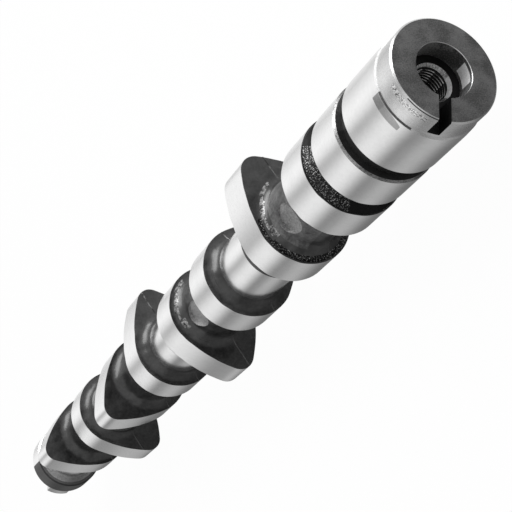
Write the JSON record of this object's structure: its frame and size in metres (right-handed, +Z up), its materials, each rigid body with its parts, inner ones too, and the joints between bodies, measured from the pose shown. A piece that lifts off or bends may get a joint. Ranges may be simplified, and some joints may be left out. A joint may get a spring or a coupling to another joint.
{
  "type": "camshaft",
  "caption": "Cast camshaft with paired cam lobes, plain bearings, a counterbored threaded nose with a drive slot, a thrust groove and a rear drive tongue.",
  "frame": {"origin": "centre of the front face, on the shaft's axis", "axes": "+X along the shaft's axis from the front face to the rear, +Z up with the shaft lying on its lobes, +Y completes the right-handed frame"},
  "size_m": [0.4389, 0.0534, 0.0534],
  "materials": {
    "chilled_cast_iron": "as cast between the lobes, ground bright on the lobes, bearings and front land, turned on the nose"
  },
  "bodies": {
    "root": {"camshaft": "chilled_cast_iron"}
  },
  "joints": []
}
